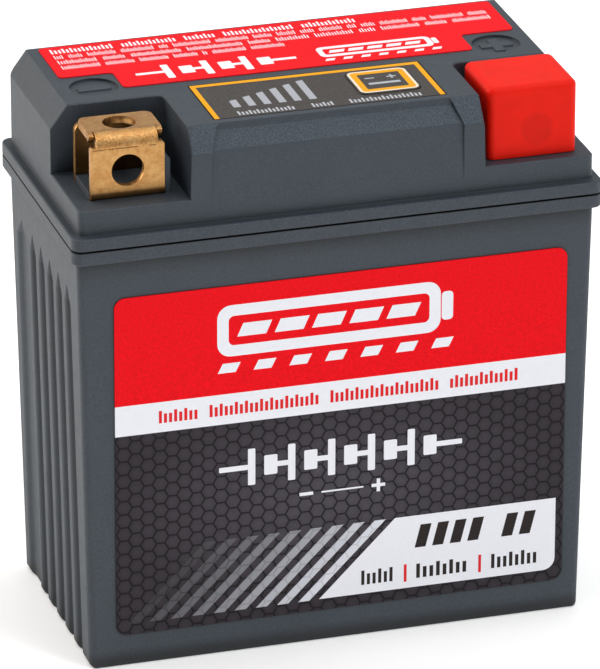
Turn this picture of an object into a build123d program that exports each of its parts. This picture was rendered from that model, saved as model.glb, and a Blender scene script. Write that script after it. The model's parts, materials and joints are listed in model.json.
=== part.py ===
from build123d import *
import os
from math import asin, atan, atan2, cos, sin, sqrt

# Small 12 V lithium starter battery. Millimetres, +X to the right along the labelled
# front, +Y to the back, +Z up. The origin is the centre of the base.

# ---- Outside of the case and lid ----
RIM_W, RIM_D, RIM_R = 107.0, 56.0, 2.2        # the flange round the seam: the largest plan size
BASE_W, BASE_D = 100.9, 50.2                  # case at its base
TOP_W, TOP_D = 104.4, 51.8                    # case just under its rim
CORNER_R = 1.4
BASE_EDGE_R = 1.2                             # rounding of the left and right base edges
RIM_Z = 86.7                                  # underside of the case rim
SEAM_Z = 89.8                                 # where the lid is welded to the case
SEAM_GAP = 0.4                                # dark line between the two flanges
FLANGE_Z = 92.2                               # top of the lid flange
POCKET_Z = 97.3                               # floor of the terminal pockets
LID_TOP = 111.2
LID_W, LID_D = 103.8, 52.2
SIDE_CHAMFER = (3.5, 4.7)                     # across, down
FRONT_CHAMFER = (3.2, 4.8)
WALL = 2.4
EDGE_R = 0.5                                  # softened moulded edges

# ---- Flutes on both sides ----
FLUTE_PITCH, FLUTE_W, FLUTE_DEPTH = 6.55, 5.2, 1.2
FLUTE_FIRST_Y = -17.0
FLUTE_COUNT = 5
FLUTE_TOP = 78.9
FLUTE_TIP = 4.0                               # length over which a flute runs out
WIDE_FLUTE_Y, WIDE_FLUTE_W, WIDE_FLUTE_DEPTH, WIDE_FLUTE_FLAT = 17.0, 9.6, 0.9, 4.0

# ---- Terminals ----
TERM_X = 40.85                                # centre of each terminal from the middle
TERM_W = 14.6
SHEET = 1.5                                   # brass sheet
TERM_FRONT, TERM_BACK = -21.6, -8.5           # outer faces of the two legs
TERM_TOP = 110.6
TERM_BEND = 2.7                               # outer bend radius
TOP_PLATE_BACK = -11.1
BEND_NOTCH = 1.2                              # relief at both ends of the top bend
WING_L, WING_DROOP, WING_SLIT = 1.3, 24.0, 0.2 # free front corners of the top plate, bent down
FOOT_R, FOOT_H = 2.0, 1.5                     # curve and height over which the front leg turns in
FOOT_IN = FOOT_R - sqrt(FOOT_R**2 - FOOT_H**2)
HOLE_R = 3.25                                 # clearance for an M6 bolt
FRONT_HOLE_Z = 103.04
TOP_HOLE_Y = -15.4
LEG_TOP = 108.9
POCKET_X_FLOOR, POCKET_X_TOP, POCKET_Y = 29.7, 29.3, -5.4
PLATFORM_Z = 98.5
RIB_TOP, RIB_T = 104.3, 1.1

# ---- Red cover over the positive terminal ----
CAP_X0, CAP_X1 = 31.0, 49.2
CAP_Y0, CAP_Y1 = -23.7, -7.4
CAP_Z0, CAP_TOP = 97.45, 112.2
CAP_WALL, CAP_ROOF = 0.8, 1.3
CAP_SIDE_R, CAP_TOP_R = 1.6, 1.2

# ---- Charge indicator on the lid ----
PANEL_X0, PANEL_X1, PANEL_Y0, PANEL_Y1 = -23.3, 23.1, -20.9, -2.7
PANEL_T = 0.3
PANEL_GAP = 0.3
BAR_COUNT, BAR_PITCH, BAR_W = 6, 3.05, 1.5
BAR_X, BAR_Y = -17.3, -16.0                   # centre of the first bar, front end of all bars
BAR_FIRST, BAR_STEP = 3.8, 1.26
KEY_X, KEY_Y, KEY_W, KEY_D, KEY_R = 13.5, -11.0, 12.4, 11.8, 1.6
KEY_Z0, KEY_Z1 = 110.2, 111.45
KEY_TRAVEL = 0.5
KEY_WELL_Z = 109.55
STEM_R, PLUNGER_R = 1.9, 1.7
STEM_Z = 108.0
BOARD_Z, BOARD_T = 103.2, 1.4                 # top face and thickness of the indicator board

# ---- Labels ----
LABEL_X0, LABEL_X1, LABEL_Z0, LABEL_Z1, LABEL_R = -45.1, 46.8, 6.5, 78.4, 2.2
LABEL_T = 0.2

# ---- Cells and what holds them ----
CELL_R, CELL_L, NUB_R, NUB_H = 9.1, 65.0, 3.0, 1.0
CELL_PITCH_X, CELL_PITCH_Y = 22.4, 20.6
CELL_Z = 11.1
STRIP_T = 0.3
HOLDER_W, HOLDER_D, HOLDER_H, HOLDER_R = 92.0, 43.0, 10.0, 2.0
HOLDER_LOW_Z, HOLDER_HIGH_Z = 13.0, 64.0
MAIN_Z, MAIN_T, MAIN_W, MAIN_D = 79.4, 1.6, 90.0, 41.0
POST_R = 2.2
POST_X, POST_Y = 22.4, 18.6
SENSE_X, SENSE_Y, SENSE_R = 22.4, -20.0, 0.6
TAB_Y, TAB_W = 19.6, 6.0
SIDE_FOAM_T, SIDE_FOAM_D = 2.0, 36.0
SHEET_T = 0.4                                 # insulating sheets over and under the cells
COVER_Z = 77.2
PLATE_HALF, PLATE_OVER = 4.0, 4.5             # how far a strip reaches past the cell axes in X and Y
SCREW_R, SCREW_HEAD_R, SCREW_HEAD_H = 0.75, 1.7, 1.2
SCREW_CLEAR_R = 1.1

# ---- Parts on the main board: places, then width, depth, height ----
SWITCHES, SWITCH_SIZE = [(9.0 * n - 39.0, -8.0) for n in range(3)], (6.6, 9.0, 2.3)
CONTROLLER, CONTROLLER_SIZE = [(12.0, 9.0)], (9.0, 6.0, 1.6)
SHUNTS, SHUNT_SIZE = [(-30.0, 8.0), (-30.0, 13.0)], (6.4, 3.2, 0.9)
RESISTORS, RESISTOR_SIZE = [(4.0 * n + 30.0, 12.0) for n in range(4)], (2.0, 4.0, 0.8)

# ---- Internal leads ----
LEAD_R, LEAD_BEND, LEAD_Y, LEAD_RUN = 2.1, 5.0, -15.25, 10.0
LUG_T, LUG_W, LUG_L, PAD_W = 1.0, 6.0, 7.0, 8.0
TAIL_L, TAIL_Y0, TAIL_Y1 = 18.0, -18.5, -12.0 # the terminal strip's tongue inside the lid
CABLE_R, CABLE_BEND = 0.9, 2.2
SOCKET_W, SOCKET_D = 8.0, 5.0

COLUMNS = [CELL_PITCH_X * (n - 1.5) for n in range(4)]
ROWS = [-CELL_PITCH_Y / 2, CELL_PITCH_Y / 2]
CELL_TOP = CELL_Z + CELL_L
CAVITY_TOP = LID_TOP - WALL


# ---- Helpers ----
def block(x0, x1, y0, y1, z0, z1):
    return Pos((x0 + x1) / 2, (y0 + y1) / 2, (z0 + z1) / 2) * Box(x1 - x0, y1 - y0, z1 - z0)


def rounded_block(w, d, r, z0, z1, x=0.0, y=0.0):
    return Pos(x, y, z0) * extrude(RectangleRounded(w, d, r), z1 - z0)


def rod(x, y, r, z0, z1):
    return Pos(x, y, (z0 + z1) / 2) * Cylinder(r, z1 - z0)


def across(points, half):
    """Outline in the YZ plane, drawn out along X to both sides."""
    return extrude(Plane.YZ * Polygon(*points, align=None), half, both=True)


def mirrored(shape):
    return mirror(shape, about=Plane.YZ)


def group(solids):
    return Compound(children=[s for part in solids for s in part.solids()])


# ---- Case ----
def case_half(z, inset=0.0):
    """Half width and half depth of the tapered case at height z."""
    share = z / RIM_Z
    half_w = (BASE_W + share * (TOP_W - BASE_W)) / 2 - inset
    half_d = (BASE_D + share * (TOP_D - BASE_D)) / 2 - inset
    return half_w, half_d


def tapered(inset, z0, z1):
    outlines = []
    for z in (z0, z1):
        half_w, half_d = case_half(z, inset)
        outlines.append(Pos(0, 0, z) * RectangleRounded(2 * half_w, 2 * half_d, CORNER_R - inset / 2))
    return loft(outlines)


def groove_outline(width, depth, flat, size):
    """Section of a flute: rounded lips, rounded root. Local +Y points out of the wall."""
    lip = 0.02
    slope = (width - flat) / 2 * size
    half_flat = flat / 2 * size
    deep = depth * size
    angle = 2 * atan(deep / slope)
    r = slope / (2 * sin(angle))
    half = slope + half_flat
    knee = (-half + r * sin(angle), lip - r * (1 - cos(angle)))
    lip_mid = (-half + r * sin(angle / 2), lip - r * (1 - cos(angle / 2)))
    root_mid = (-half_flat - r * sin(angle / 2), lip - deep + r * (1 - cos(angle / 2)))
    left = [
        ThreePointArc((-half, lip), lip_mid, knee),
        ThreePointArc(knee, root_mid, (-half_flat, lip - deep)),
    ]
    right = [
        ThreePointArc((half_flat, lip - deep), (-root_mid[0], root_mid[1]), (-knee[0], knee[1])),
        ThreePointArc((-knee[0], knee[1]), (-lip_mid[0], lip_mid[1]), (half, lip)),
    ]
    if flat:
        left.append(Line((-half_flat, lip - deep), (half_flat, lip - deep)))
    closing = Polyline((half, lip), (half, 2.0), (-half, 2.0), (-half, lip))
    return make_face(Curve() + left + right + closing)


def flute(y, width, depth, flat=0.0):
    """Cutter for one flute in the left wall, running out to a point at its top."""
    sections = []
    for z, size in ((-1.0, 1.0), (FLUTE_TOP - FLUTE_TIP, 1.0), (FLUTE_TOP, 0.06)):
        wall = Plane(origin=(-case_half(z)[0], y, z), x_dir=(0, 1, 0), z_dir=(0, 0, 1))
        sections.append(wall * groove_outline(width, depth, flat, size))
    return loft(sections, ruled=True)


def case():
    half_w = BASE_W / 2
    slope = (TOP_W - BASE_W) / 2 / RIM_Z
    front = Polygon(
        (-half_w, 0), (half_w, 0), (half_w + slope * 100, 100), (-half_w - slope * 100, 100), align=None
    )
    front = fillet(front.vertices().group_by(Axis.Y)[0], BASE_EDGE_R)
    body = tapered(0.0, 0.0, RIM_Z) & extrude(Plane.XZ * front, BASE_D, both=True)
    for n in range(FLUTE_COUNT):
        cutter = flute(FLUTE_FIRST_Y + n * FLUTE_PITCH, FLUTE_W, FLUTE_DEPTH)
        body -= cutter
        body -= mirrored(cutter)
    cutter = flute(WIDE_FLUTE_Y, WIDE_FLUTE_W, WIDE_FLUTE_DEPTH, WIDE_FLUTE_FLAT)
    body -= cutter
    body -= mirrored(cutter)
    rim = rounded_block(RIM_W, RIM_D, RIM_R, RIM_Z, SEAM_Z - SEAM_GAP)
    rim = fillet(rim.edges().group_by(Axis.Z)[0], EDGE_R)
    weld_rib = rounded_block(RIM_W - 2.6, RIM_D - 2.6, RIM_R - 1.3, RIM_Z, SEAM_Z)
    return body + rim + weld_rib - tapered(WALL, WALL, SEAM_Z + 1)


# ---- Lid ----
def lid_block(inset, z0):
    """Outer form of the lid above its flange, or its hollow when inset by the wall."""
    half_w, half_d = LID_W / 2, LID_D / 2
    low = 60.0
    front = Polygon(
        (-half_w, low), (half_w, low),
        (half_w, LID_TOP - SIDE_CHAMFER[1]), (half_w - SIDE_CHAMFER[0], LID_TOP),
        (-half_w + SIDE_CHAMFER[0], LID_TOP), (-half_w, LID_TOP - SIDE_CHAMFER[1]), align=None,
    )
    side = Polygon(
        (-half_d, low), (half_d, low), (half_d, LID_TOP),
        (-half_d + FRONT_CHAMFER[0], LID_TOP), (-half_d, LID_TOP - FRONT_CHAMFER[1]), align=None,
    )
    if inset:
        front = offset(front, amount=-inset, kind=Kind.INTERSECTION)
        side = offset(side, amount=-inset, kind=Kind.INTERSECTION)
    body = rounded_block(LID_W - 2 * inset, LID_D - 2 * inset, CORNER_R - inset / 2, z0, LID_TOP + 1)
    body &= extrude(Plane.XZ * front, RIM_D, both=True)
    body &= extrude(Plane.YZ * side, RIM_W, both=True)
    return body


def pocket(wall=0.0):
    """Space cut out of the right front corner for a terminal, grown by a wall for the hollow."""
    floor = POCKET_Z - wall
    top = LID_TOP + 5
    lean = (POCKET_X_FLOOR - POCKET_X_TOP) / (LID_TOP - POCKET_Z)
    x_floor = POCKET_X_FLOOR - wall
    x_top = x_floor - lean * (top - floor)
    outline = Polygon((x_floor, floor), (RIM_W, floor), (RIM_W, top), (x_top, top), align=None)
    space = Pos(0, POCKET_Y + wall, 0) * extrude(Plane.XZ * outline, RIM_D)
    inner_edge = space.edges().filter_by(lambda e: abs((e @ 0).Y - (POCKET_Y + wall)) < 1e-6)
    inner_edge = inner_edge.filter_by(lambda e: abs((e @ 1).Y - (POCKET_Y + wall)) < 1e-6)
    inner_edge = inner_edge.filter_by(lambda e: abs((e @ 1).Z - (e @ 0).Z) > 5)
    return fillet(inner_edge.sort_by(Axis.X)[0], 1.5)


def front_recess():
    """Shallow panel sunk into the front wall and chamfer, up to the edge of the flat top."""
    half_w, bevel_w = 25.3, 23.2
    foot, knee, brow = 94.8, 106.7, 109.8
    face = -LID_D / 2
    knee_y = face + 0.6
    brow_y = face + FRONT_CHAMFER[0] - 0.1
    lip_z = LID_TOP + 0.4
    depth = across(
        ((face - 5, foot), (face, foot), (knee_y, knee), (brow_y, brow),
         (brow_y + 0.3, lip_z + 1), (face - 5, lip_z + 1)), half_w + 1,
    )
    outline = Polygon(
        (-half_w, foot - 1), (half_w, foot - 1), (half_w, knee - 0.3), (bevel_w, lip_z),
        (-bevel_w, lip_z), (-half_w, knee - 0.3), align=None,
    )
    outline = fillet(outline.vertices().group_by(Axis.Y)[-1], 2.2)
    return depth & extrude(Plane.XZ * outline, RIM_D, both=True)


def polarity_mark(x, y, plus):
    """Round recess with a raised sign standing on its floor. Returns the cutter."""
    well_r, depth, rise = 4.8, 0.55, 0.3
    arm_l, arm_w = 6.5, 2.0
    cutter = rod(x, y, well_r, LID_TOP - depth, LID_TOP + 1)
    sign = Rectangle(arm_l, arm_w)
    if plus:
        sign += Rectangle(arm_w, arm_l)
    return cutter - Pos(x, y, LID_TOP - depth) * extrude(sign, rise)


def bar_length(n):
    return BAR_FIRST + n * BAR_STEP


def bar_centre(n):
    return BAR_X + n * BAR_PITCH, BAR_Y + bar_length(n) / 2


def terminal_seat():
    """What stands on the right pocket floor: a platform for the nut and a rib that stops it."""
    inner, outer = TERM_X - TERM_W / 2, TERM_X + TERM_W / 2
    front = TERM_FRONT + SHEET + 0.1
    back = TERM_BACK - SHEET - 0.1
    platform = block(inner - RIB_T, outer, front, back, POCKET_Z - 0.5, PLATFORM_Z)
    rib = block(inner - 0.1 - RIB_T, inner - 0.1, TERM_FRONT + 0.2, TERM_BACK, POCKET_Z - 0.5, RIB_TOP)
    return platform + rib


def leg_slots():
    gap = 0.1
    inner, outer = TERM_X - TERM_W / 2 - gap, TERM_X + TERM_W / 2 + gap
    slots = []
    for y0, y1 in ((TERM_FRONT + FOOT_IN, TERM_FRONT + SHEET), (TERM_BACK - SHEET, TERM_BACK)):
        slots.append(block(inner, outer, y0 - gap, y1 + gap, POCKET_Z - 5, RIB_TOP))
    return slots


def soften_lid(body):
    """Round the moulded edges: all of the top ones, then the outer edges of the pocket floors."""
    top_band = max(SIDE_CHAMFER[1], FRONT_CHAMFER[1]) + 1.2
    body = fillet([e for e in body.edges() if e.center().Z > LID_TOP - top_band], EDGE_R - 0.1)
    rim_edges = []
    for edge in body.edges().filter_by_position(Axis.Z, POCKET_Z - 0.01, POCKET_Z + 0.01):
        place = edge.center()
        if abs(place.Y) > LID_D / 2 - 0.9 or abs(place.X) > LID_W / 2 - 0.9:
            rim_edges.append(edge)
    return fillet(rim_edges, EDGE_R - 0.1)


def lid():
    flange = rounded_block(RIM_W, RIM_D, RIM_R, SEAM_Z, FLANGE_Z)
    flange = fillet(flange.edges().group_by(Axis.Z)[-1], EDGE_R - 0.1)
    body = lid_block(0.0, SEAM_Z)
    for space in (pocket(), mirrored(pocket())):
        body -= space
    body = soften_lid(body)
    body -= front_recess()
    shell = flange + body
    hollow = lid_block(WALL, SEAM_Z - 1)
    for space in (pocket(WALL), mirrored(pocket(WALL))):
        hollow -= space
    shell -= hollow
    shell += terminal_seat()
    shell += mirrored(terminal_seat())
    for slot in leg_slots():
        shell -= slot
        shell -= mirrored(slot)
    shell -= polarity_mark(-41.0, 2.3, plus=False)
    shell -= polarity_mark(41.0, 2.3, plus=True)
    return add_indicator_seat(shell)


def boss_places():
    return [(x, y) for x in (-20.5, 20.5) for y in (-19.0, -4.5)]


def add_indicator_seat(shell):
    mid_x, mid_y = (PANEL_X0 + PANEL_X1) / 2, (PANEL_Y0 + PANEL_Y1) / 2
    wide = PANEL_X1 - PANEL_X0 + 2 * PANEL_GAP
    deep = PANEL_Y1 - PANEL_Y0 + 2 * PANEL_GAP
    shell -= Pos(mid_x, mid_y, LID_TOP - PANEL_T) * extrude(Rectangle(wide, deep), 2)
    shell -= rounded_block(KEY_W + 0.3, KEY_D + 0.3, KEY_R, KEY_WELL_Z, LID_TOP + 1, KEY_X, KEY_Y)
    shell -= rod(KEY_X, KEY_Y, STEM_R + 0.2, CAVITY_TOP - 1, LID_TOP)
    for n in range(BAR_COUNT):
        x, y = bar_centre(n)
        shell -= Pos(x, y, (CAVITY_TOP + LID_TOP) / 2) * Box(BAR_W - 0.1, bar_length(n) - 0.6, 8)
    for x, y in boss_places():
        shell += rod(x, y, 1.9, BOARD_Z, CAVITY_TOP + 0.1)
        shell -= rod(x, y, SCREW_R, BOARD_Z - 1, BOARD_Z + 4)
    return shell


# ---- Terminals ----
def front_leg(inner, outer, under):
    """Front plate with rounded shoulders beside the bend, curving in where it enters the lid."""
    bend_z = TERM_TOP - TERM_BEND
    shoulder_z, shoulder_r = bend_z + 0.3, 0.5
    plate = Polygon((inner, under), (outer, under), (outer, shoulder_z), (inner, shoulder_z), align=None)
    plate = fillet(plate.vertices().group_by(Axis.Y)[-1], shoulder_r)
    leg = Pos(0, TERM_FRONT + SHEET, 0) * extrude(Plane.XZ * plate, SHEET)
    leg -= block(inner + BEND_NOTCH, outer - BEND_NOTCH, TERM_FRONT - 1, 0, bend_z, TERM_TOP)
    for x, side in ((inner + BEND_NOTCH, -1), (outer - BEND_NOTCH, 1)):
        x0, x1 = sorted((x, x + side * shoulder_r))
        root = block(x0, x1, TERM_FRONT, TERM_FRONT + SHEET, shoulder_z - 0.2, shoulder_z + shoulder_r)
        leg += root - Pos(x + side * shoulder_r, TERM_FRONT, shoulder_z + shoulder_r) * (
            Rot(90, 0, 0) * Cylinder(shoulder_r, 2 * SHEET + 1)
        )
    top, half = POCKET_Z + FOOT_H, asin(FOOT_H / FOOT_R) / 2
    middle = (TERM_FRONT + FOOT_R * (1 - cos(half)), top - FOOT_R * sin(half))
    end = (TERM_FRONT + FOOT_IN, POCKET_Z)
    outside = Curve() + [
        ThreePointArc((TERM_FRONT, top), middle, end),
        Polyline(end, (end[0], 0), (TERM_FRONT - 1, 0), (TERM_FRONT - 1, top), (TERM_FRONT, top)),
    ]
    return leg - extrude(Plane.YZ * make_face(outside), RIM_W)


def top_plate(inner, outer):
    """Bend and top plate, with the two free corners in front that droop a little."""
    bend_y, bend_z = TERM_FRONT + TERM_BEND, TERM_TOP - TERM_BEND
    ring = Circle(TERM_BEND) - Circle(TERM_BEND - SHEET)
    quarter = Pos(-TERM_BEND / 2, TERM_BEND / 2) * Rectangle(TERM_BEND, TERM_BEND)
    section = Plane.YZ * (Pos(bend_y, bend_z) * (ring & quarter))
    bend = Pos(inner + BEND_NOTCH, 0, 0) * extrude(section, TERM_W - 2 * BEND_NOTCH)
    plate = block(inner, outer, bend_y, TOP_PLATE_BACK, TERM_TOP - SHEET, TERM_TOP)
    plate = fillet(plate.edges().filter_by(Axis.Z).group_by(Axis.Y)[-1], 1.6)
    wing_w = BEND_NOTCH - WING_SLIT
    for x in (inner + wing_w / 2, outer - wing_w / 2):
        wing = Pos(0, -WING_L / 2, -SHEET / 2) * Box(wing_w, WING_L, SHEET)
        plate += Pos(x, bend_y, TERM_TOP) * (Rot(WING_DROOP, 0, 0) * wing)
    return plate + bend


def terminal():
    """Right-hand terminal: one brass strip. Two legs pass through the lid and join under it."""
    inner, outer = TERM_X - TERM_W / 2, TERM_X + TERM_W / 2
    under = POCKET_Z - WALL - SHEET
    base = block(inner, outer, TERM_FRONT + FOOT_IN, TERM_BACK, under, under + SHEET)
    back_leg = block(inner, outer, TERM_BACK - SHEET, TERM_BACK, under, LEG_TOP)
    back_leg = fillet(back_leg.edges().filter_by(Axis.Y).group_by(Axis.Z)[-1], 1.6)
    tail = block(TERM_X - TAIL_L, inner + 1, TAIL_Y0, TAIL_Y1, under, under + SHEET)
    strip = front_leg(inner, outer, under) + top_plate(inner, outer) + base + back_leg + tail
    strip -= Pos(TERM_X, TERM_FRONT, FRONT_HOLE_Z) * Rot(90, 0, 0) * Cylinder(HOLE_R, 2 * SHEET + 1)
    strip -= Pos(TERM_X, TOP_HOLE_Y, TERM_TOP) * Cylinder(HOLE_R, 2 * SHEET + 1)
    return strip


def terminal_cap():
    """Soft cover, open underneath, that lifts straight off the positive terminal."""
    w, d = CAP_X1 - CAP_X0, CAP_Y1 - CAP_Y0
    x, y = (CAP_X0 + CAP_X1) / 2, (CAP_Y0 + CAP_Y1) / 2
    outer = rounded_block(w, d, CAP_SIDE_R, CAP_Z0, CAP_TOP, x, y)
    outer = fillet(outer.edges().group_by(Axis.Z)[-1], CAP_TOP_R)
    inner = rounded_block(
        w - 2 * CAP_WALL, d - 2 * CAP_WALL, CAP_SIDE_R - CAP_WALL,
        CAP_Z0 - 1, CAP_TOP - CAP_ROOF, x, y,
    )
    return outer - inner


# ---- Labels and indicator ----
def front_label():
    """Sheet on the sloping front face of the case."""
    lean = atan2((TOP_D - BASE_D) / 2, RIM_Z)
    face = Plane(origin=(0, -BASE_D / 2, 0), x_dir=(1, 0, 0), z_dir=(0, -cos(lean), -sin(lean)))
    sheet = RectangleRounded(LABEL_X1 - LABEL_X0, LABEL_Z1 - LABEL_Z0, LABEL_R)
    place = Pos((LABEL_X0 + LABEL_X1) / 2, (LABEL_Z0 + LABEL_Z1) / 2)
    return extrude(face * (place * sheet), LABEL_T)


def top_label():
    """Red sheet at the back of the lid, notched round the two polarity marks."""
    left, right, back, front = -46.3, 46.7, 24.9, 0.1
    step_x, step_y = 35.6, 8.4
    outline = Polygon(
        (left, back), (left, step_y), (-step_x, step_y), (-step_x, front),
        (step_x, front), (step_x, step_y), (right, step_y), (right, back), align=None,
    )
    outline = fillet(outline.vertices(), 1.0)
    return Pos(0, 0, LID_TOP) * extrude(outline, LABEL_T)


def bar_shape(n, grow=0.0):
    """Plan of one level bar, a little taller on its right."""
    x, y = bar_centre(n)
    half_w, half_l = BAR_W / 2 + grow, bar_length(n) / 2 + grow
    rise = 0.25
    return Pos(x, y) * Polygon(
        (-half_w, -half_l), (half_w, -half_l), (half_w, half_l + rise), (-half_w, half_l - rise),
        align=None,
    )


def charge_panel():
    mid_x, mid_y = (PANEL_X0 + PANEL_X1) / 2, (PANEL_Y0 + PANEL_Y1) / 2
    sheet = Pos(mid_x, mid_y) * Rectangle(PANEL_X1 - PANEL_X0, PANEL_Y1 - PANEL_Y0)
    sheet -= Pos(KEY_X, KEY_Y) * RectangleRounded(KEY_W + 0.3, KEY_D + 0.3, KEY_R)
    for n in range(BAR_COUNT):
        sheet -= bar_shape(n)
    return Pos(0, 0, LID_TOP - PANEL_T) * extrude(sheet, PANEL_T)


def level_windows():
    bars = [Pos(0, 0, LID_TOP - PANEL_T) * extrude(bar_shape(n), PANEL_T) for n in range(BAR_COUNT)]
    return group(bars)


def test_button():
    key = rounded_block(KEY_W, KEY_D, KEY_R, KEY_Z0, KEY_Z1, KEY_X, KEY_Y)
    key = fillet(key.edges().group_by(Axis.Z)[-1], 0.25)
    return key + rod(KEY_X, KEY_Y, STEM_R, STEM_Z, KEY_Z0 + 0.1)


def switch_body():
    body = block(KEY_X - 3, KEY_X + 3, KEY_Y - 3, KEY_Y + 3, BOARD_Z, BOARD_Z + 3.5)
    body = fillet(body.edges().filter_by(Axis.Z), 0.4)
    return body - rod(KEY_X, KEY_Y, PLUNGER_R + 0.1, BOARD_Z + 1.2, BOARD_Z + 5)


def switch_plunger():
    foot = BOARD_Z + 1.2 + KEY_TRAVEL + 0.2
    stem = rod(KEY_X, KEY_Y, PLUNGER_R, foot, STEM_Z - 0.1)
    return chamfer(stem.edges().group_by(Axis.Z)[-1], 0.25)


def indicator_board():
    left, right, front, back = -23.0, 23.0, -21.2, -2.6
    board = block(left, right, front, back, BOARD_Z - BOARD_T, BOARD_Z)
    board = fillet(board.edges().filter_by(Axis.Z), 1.0)
    for x, y in boss_places():
        board -= rod(x, y, SCREW_CLEAR_R, BOARD_Z - BOARD_T - 1, BOARD_Z + 1)
    return board


def level_leds():
    size_x, size_y, height = 1.2, 2.0, 0.8
    leds = []
    for n in range(BAR_COUNT):
        x, y = bar_centre(n)
        led = block(x - size_x / 2, x + size_x / 2, y - size_y / 2, y + size_y / 2, BOARD_Z, BOARD_Z + height)
        leds.append(led)
    return group(leds)


def light_guide():
    """Clear moulding: one pipe through the lid for each bar, joined by a bridge on two feet."""
    bridge_z = 104.6
    bridge_t = 1.0
    first, last = bar_centre(0)[0], bar_centre(BAR_COUNT - 1)[0]
    back = BAR_Y + 5.0
    guide = block(first - 2.5, last + 2.5, BAR_Y + 0.4, back, bridge_z, bridge_z + bridge_t)
    for n in range(BAR_COUNT):
        x, y = bar_centre(n)
        half_w, half_l = BAR_W / 2 - 0.2, bar_length(n) / 2 - 0.45
        guide += block(x - half_w, x + half_w, y - half_l, y + half_l, bridge_z, LID_TOP - PANEL_T)
    for x in (first - 2.0, last + 2.0):
        guide += block(x - 0.5, x + 0.5, BAR_Y + 0.4, back, BOARD_Z, bridge_z + 0.1)
    return guide


def screw(x, y, head_z, length):
    """Small screw driven upwards or downwards: a negative length points down."""
    shank = rod(x, y, SCREW_R, *sorted((head_z, head_z + length)))
    head_end = head_z + (SCREW_HEAD_H if length < 0 else -SCREW_HEAD_H)
    head = rod(x, y, SCREW_HEAD_R, *sorted((head_z, head_end)))
    slot = Pos(x, y, head_end) * Box(2 * SCREW_HEAD_R, 0.35, 0.7)
    return shank + head - slot


def indicator_screws():
    under = BOARD_Z - BOARD_T
    return group([screw(x, y, under, 4.6) for x, y in boss_places()])


# ---- Cells ----
def cell():
    """One cylindrical cell standing on its flat end, positive nub on top."""
    can_h = CELL_L - NUB_H
    groove_z, groove_h, groove_d = can_h - 4.2, 1.6, 0.7
    profile = Polygon(
        (0, 0), (CELL_R - 0.5, 0), (CELL_R, 0.5), (CELL_R, groove_z),
        (CELL_R - groove_d, groove_z + groove_h / 2), (CELL_R, groove_z + groove_h),
        (CELL_R, can_h - 0.5), (CELL_R - 0.5, can_h), (NUB_R + 0.4, can_h), (NUB_R + 0.4, can_h - 0.4),
        (NUB_R, can_h - 0.4), (NUB_R, CELL_L), (0, CELL_L), align=None,
    )
    return revolve(Plane.XZ * profile, Axis.Z)


def cell_ring():
    """Fibre washer round the positive nub."""
    can_h = CELL_L - NUB_H
    washer = Circle(CELL_R - 0.8) - Circle(NUB_R + 0.6)
    return Pos(0, 0, can_h) * extrude(washer, 0.3)


def cell_seats():
    """Place of each cell. Columns 1 and 3 stand on their nubs, columns 2 and 4 upright."""
    seats = []
    for n, x in enumerate(COLUMNS):
        for y in ROWS:
            if n % 2:
                seats.append(Pos(x, y, CELL_Z))
            else:
                seats.append(Pos(x, y, CELL_TOP) * Rot(180, 0, 0))
    return seats


def holder(z, posts):
    frame = rounded_block(HOLDER_W, HOLDER_D, HOLDER_R, z, z + HOLDER_H)
    for x in COLUMNS:
        for y in ROWS:
            frame -= rod(x, y, CELL_R + 0.15, z - 1, z + HOLDER_H + 1)
    for x in (-SENSE_X, SENSE_X):
        frame -= block(x - 1.2, x + 1.2, -HOLDER_D, SENSE_Y + 1.2, z - 1, z + HOLDER_H + 1)
    for x, y in posts:
        frame += rod(x, y, POST_R, z + HOLDER_H - 1, MAIN_Z)
        frame -= rod(x, y, SCREW_R, MAIN_Z - 5, MAIN_Z + 1)
    return frame


def post_places():
    places = [(x, POST_Y) for x in (-POST_X, POST_X)]
    return places + [(x, 0.0) for x in (-POST_X, POST_X)]


def strip_plate(columns, z):
    """Flat nickel strip over the cell ends of one or two columns."""
    x0, x1 = min(columns) - PLATE_HALF, max(columns) + PLATE_HALF
    plate = block(x0, x1, ROWS[0] - PLATE_OVER, ROWS[1] + PLATE_OVER, z, z + STRIP_T)
    if len(columns) > 1:
        middle = (x0 + x1) / 2
        plate -= block(middle - 2, middle + 2, -6.0, 6.0, z - 1, z + 1)
    return fillet(plate.edges().filter_by(Axis.Z), 0.8)


def strip_tab(x):
    """Tongue that runs to the back edge and turns up through the main board."""
    flat = block(x - TAB_W / 2, x + TAB_W / 2, ROWS[1] + 3.0, TAB_Y + STRIP_T, CELL_TOP, CELL_TOP + STRIP_T)
    rise = block(x - TAB_W / 2, x + TAB_W / 2, TAB_Y, TAB_Y + STRIP_T, CELL_TOP, MAIN_Z + MAIN_T + 1.2)
    return flat + rise


def top_strip(columns, tab_x):
    return strip_plate(columns, CELL_TOP) + strip_tab(tab_x)


def bottom_strip(columns, ear_x):
    plate = strip_plate(columns, CELL_Z - STRIP_T)
    ear = block(ear_x - 1.0, ear_x + 1.0, SENSE_Y - 1.0, ROWS[0], CELL_Z - STRIP_T, CELL_Z)
    return plate + ear


def sense_leads():
    return group([rod(x, SENSE_Y, SENSE_R, CELL_Z, MAIN_Z + MAIN_T + 0.8) for x in (-SENSE_X, SENSE_X)])


# ---- Main board ----
def tab_places():
    return [COLUMNS[0], 0.0, COLUMNS[3]]


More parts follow.
